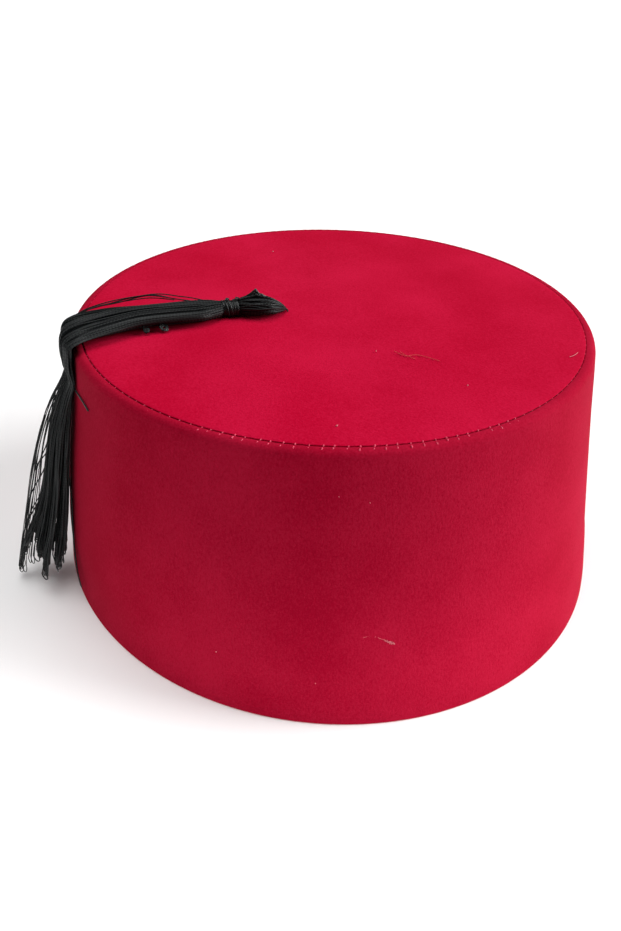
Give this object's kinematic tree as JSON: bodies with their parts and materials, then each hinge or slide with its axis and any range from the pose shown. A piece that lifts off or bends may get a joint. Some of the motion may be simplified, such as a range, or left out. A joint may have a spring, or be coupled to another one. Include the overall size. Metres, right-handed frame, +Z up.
{
  "type": "fez hat",
  "caption": "Low round felt cap with a flat crown, a band that widens to the head opening, and a thread tassel that lies over the crown and hangs down the side.",
  "frame": {"origin": "centre of the head opening, on the plane that the rim rests on", "axes": "+Z up through the flat crown. The hat is round; the tassel falls over the crown's edge on the diagonal between -X and -Y"},
  "size_m": [0.191, 0.191, 0.0944],
  "materials": {
    "crown_felt": "matt felt with a short brushed nap",
    "band_felt": "matt felt with a short brushed nap",
    "tassel_thread": "twisted rayon thread with a soft gloss",
    "tie_thread": "tightly wound rayon thread with a soft gloss"
  },
  "bodies": {
    "root": {"crown_tip": "crown_felt", "side_band": "band_felt", "tassel_head": "tassel_thread", "tassel_skirt": "tassel_thread", "tassel_tie": "tie_thread", "tie_knot": "tie_thread"}
  },
  "joints": []
}
